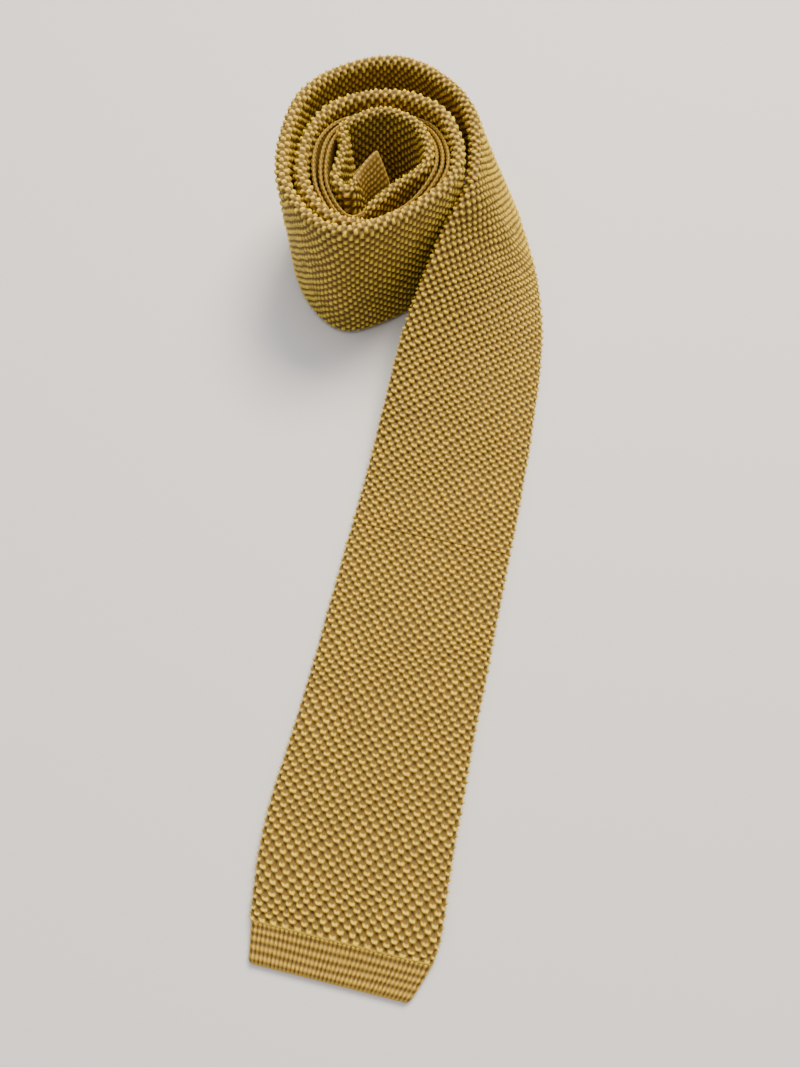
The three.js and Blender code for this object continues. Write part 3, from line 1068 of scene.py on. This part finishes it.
@dataclass
class Necktie:
    """The whole tie: one strip in eight lengths of knitting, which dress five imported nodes.

    Lengths are in millimetres from the wide end, and first courses are in stitches.
    """

    cloth: Cloth = field(default_factory=Cloth)
    outer_turn_at: float = 248.0
    second_turn_at: float = 472.0
    band_first_course: float = -0.4
    blade_first_course: float = 0.72
    dots_grow_over: float = 1.0

    def pieces(self, strip: Strip) -> list[tuple[KnitPiece, KnitYarn, str]]:
        """The lengths of knitting, with the finish and the material slot of each.

        Args:
            strip: the sheet that they follow.

        Returns:
            One entry for each piece, from the wide end.
        """
        band = KnitPiece(
            name="wide_end_band_knit", node="wide_end_band", start=0, end=self.cloth.band_length,
            gauge=BAND_KNIT, wales_face=38, wales_edge=3, held="laid", closes_start=True,
            fineness=Fineness(outer=5, edge=6, inner=3, courses=10),
            first_course=self.band_first_course,
        )
        neck = KnitPiece(
            name="neck_section_knit", node="neck_section", start=strip.neck_start,
            end=strip.narrow_start, gauge=FINE_KNIT, wales_face=26, wales_edge=2, held="folded",
            fineness=Fineness(outer=1.2, edge=5, inner=1.2, courses=4), rim_bias=1.7,
        )
        narrow = KnitPiece(
            name="narrow_blade_knit", node="narrow_blade", start=strip.narrow_start,
            end=strip.narrow_band_start, gauge=NARROW_KNIT, wales_face=13.5, wales_edge=2,
            held="folded", fineness=Fineness(outer=7, edge=7, inner=7, courses=7),
        )
        narrow_band = KnitPiece(
            name="narrow_end_band_knit", node="narrow_end_band", start=strip.narrow_band_start,
            end=strip.total, gauge=FLAP_KNIT, wales_face=26, wales_edge=2, held="folded",
            fineness=Fineness(outer=6, edge=6, inner=4, courses=8), closes_end=True,
        )
        return [
            (band, FINE_YARN, "fine_yarn"),
            *((piece, DOTTED_YARN, "blade_yarn") for piece in self._blade_pieces(strip)),
            (neck, FINE_YARN, "fine_yarn"),
            (narrow, DOTTED_YARN, "blade_yarn"),
            (narrow_band, FINE_YARN, "fine_yarn"),
        ]

    def _blade_pieces(self, strip: Strip) -> list[KnitPiece]:
        """The wide blade in four lengths, cut between whole courses so that the rows run on."""
        band, course = self.cloth.band_length, TUCK_KNIT.course
        half = band + round((self.outer_turn_at - band) / course / 2) * course
        outer_at = half + round((self.outer_turn_at - half) / course) * course
        second_at = outer_at + round((self.second_turn_at - outer_at) / course) * course
        tail = Fineness(outer=8, edge=8, inner=3, courses=8)
        roll = Fineness(outer=7, edge=7, inner=5, courses=6)
        lengths = (
            ("wide_blade_lower_tail", band, half, tail, "laid"),
            ("wide_blade_upper_tail", half, outer_at, tail, "laid"),
            ("wide_blade_outer_turn", outer_at, second_at, roll, "folded"),
            ("wide_blade_second_turn", second_at, strip.neck_start, roll, "folded"),
        )
        return [
            KnitPiece(
                name=name, node="wide_blade", start=start, end=end, gauge=TUCK_KNIT,
                wales_face=14.5, wales_edge=2, fineness=fineness, held=held,
                first_course=self.blade_first_course + (start - band) / course,
                fades_start=self.dots_grow_over if start == band else 0.0,
            )
            for name, start, end, fineness, held in lengths
        ]

    def build(self) -> None:
        """Knits every piece, dresses it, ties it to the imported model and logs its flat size."""
        strip = Strip(self.cloth)
        strip.shift = self._place_of(strip)
        finishes = {yarn.name: yarn.material() for yarn in (FINE_YARN, DOTTED_YARN)}
        for piece, yarn, slot in self.pieces(strip):
            knitted = piece.build(strip)
            knitted.data.materials.append(finishes[yarn.name])
            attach(knitted, "root")
            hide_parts(piece.node)
            flat = self._flat_size(strip, piece)
            LOG.info("%s: %d triangles, %.0f by %.0f mm flat", knitted.name,
                     sum(len(p.vertices) - 2 for p in knitted.data.polygons),
                     flat[0] / MM, flat[1] / MM)

    @staticmethod
    def _flat_size(strip: Strip, piece: KnitPiece) -> tuple[float, float]:
        """The flat width and length of a piece, in metres."""
        along = np.linspace(piece.start, piece.end, FLAT_SAMPLES)
        foot, rim, _ = strip.rails_at(along)
        width = np.linalg.norm(rim - foot, axis=-1) + strip.thickness_at(along)
        return float(width.mean()) * MM, (piece.end - piece.start) * MM

    @staticmethod
    def _place_of(strip: Strip) -> np.ndarray:
        """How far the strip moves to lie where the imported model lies, in millimetres."""
        length = np.linspace(0, strip.total, PLACE_SAMPLES)
        foot, rim, _ = strip.rails_at(length)
        thickness = strip.thickness_at(length)[:, None]
        before, before_rim, _ = strip.rails_at(length - RAIL_STEP)
        after, after_rim, _ = strip.rails_at(length + RAIL_STEP)
        side = unit(rim - foot)
        corners = []
        for rail, way in ((foot, after - before), (rim, after_rim - before_rim)):
            out = unit(np.cross(way, side)) * thickness / 2
            corners += [rail + out, rail - out]
        corners += [rim + side * thickness / 2, foot - side * thickness / 2]
        spread = np.vstack(corners)
        own = (spread.min(0) + spread.max(0)) / 2
        low, high = (np.array(corner) / MM for corner in CAD_BOX)
        shift = (low + high) / 2 - own
        return np.array([shift[0], shift[1], 0.0])


# The table, the light and the camera


@dataclass(frozen=True)
class SoftLight:
    """A square soft light that hangs at a place in metres and looks at the tie."""

    name: str
    place: tuple[float, float, float]
    size: float
    power: float
    colour: str

    def hang(self) -> None:
        """Makes the light."""
        data = bpy.data.lights.new(self.name, "AREA")
        data.shape = "SQUARE"
        data.size = self.size
        data.energy = self.power
        data.color = linear(self.colour)[:3]
        lamp = bpy.data.objects.new(self.name, data)
        bpy.context.scene.collection.objects.link(lamp)
        lamp.location = self.place
        x, y, z = self.place
        lamp.rotation_euler = (0, math.atan2(math.hypot(x, y), z), math.atan2(y, x))


@dataclass
class Studio:
    """A plain pale table under soft light, seen as the photo sees it.

    The table is in metres, the camera's place in millimetres and its tilt in degrees. The focal
    length is a share of the picture's longer side.
    """

    table_size: float = 3.0
    lights: tuple[SoftLight, ...] = (
        SoftLight("window_behind", (0.38, 0.72, 1.15), 0.6, 29.0, "fff3e2"),
        SoftLight("ceiling", (-0.2, 0.3, 1.5), 1.2, 13.5, "fbf6f0"),
    )
    room_colour: str = "e2eaff"
    room_strength: float = 0.47
    camera_place: tuple[float, float, float] = (-4.76, -110.07, 246.0)
    camera_tilt: float = 21.0
    focal_share: float = 800 / 1067
    sensor_width: float = 36.0
    nearest: float = 0.01

    def build(self) -> None:
        """Makes the table, the lights and the camera."""
        bpy.ops.object.select_all(action="DESELECT")
        bpy.ops.mesh.primitive_plane_add(size=self.table_size, location=(0, 0, 0))
        table = bpy.context.object
        table.name = "table_top"
        bpy.ops.object.transform_apply(location=True, rotation=True, scale=True)
        table.data.materials.append(TableTop().material())
        for light in self.lights:
            light.hang()
        self._room()
        self._camera()

    def _room(self) -> None:
        """Fills the shadows with the light of a plain room."""
        world = bpy.data.worlds.new("soft_room")
        world.use_nodes = True
        room = world.node_tree.nodes["Background"].inputs
        room["Color"].default_value = linear(self.room_colour)
        room["Strength"].default_value = self.room_strength
        bpy.context.scene.world = world

    def _camera(self) -> None:
        """Puts the camera where the photo was taken from."""
        data = bpy.data.cameras.new("photo_view")
        data.sensor_fit = "AUTO"
        data.sensor_width = self.sensor_width
        data.lens = self.sensor_width * self.focal_share
        data.clip_start = self.nearest
        camera = bpy.data.objects.new("photo_view", data)
        bpy.context.scene.collection.objects.link(camera)
        camera.location = tuple(MM * v for v in self.camera_place)
        camera.rotation_euler = (math.radians(self.camera_tilt), 0, 0)
        bpy.context.scene.camera = camera


def main() -> None:
    """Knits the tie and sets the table."""
    logging.basicConfig(level=logging.INFO, format="%(name)s: %(message)s")
    Necktie().build()
    Studio().build()


if __name__ == "__main__":
    main()
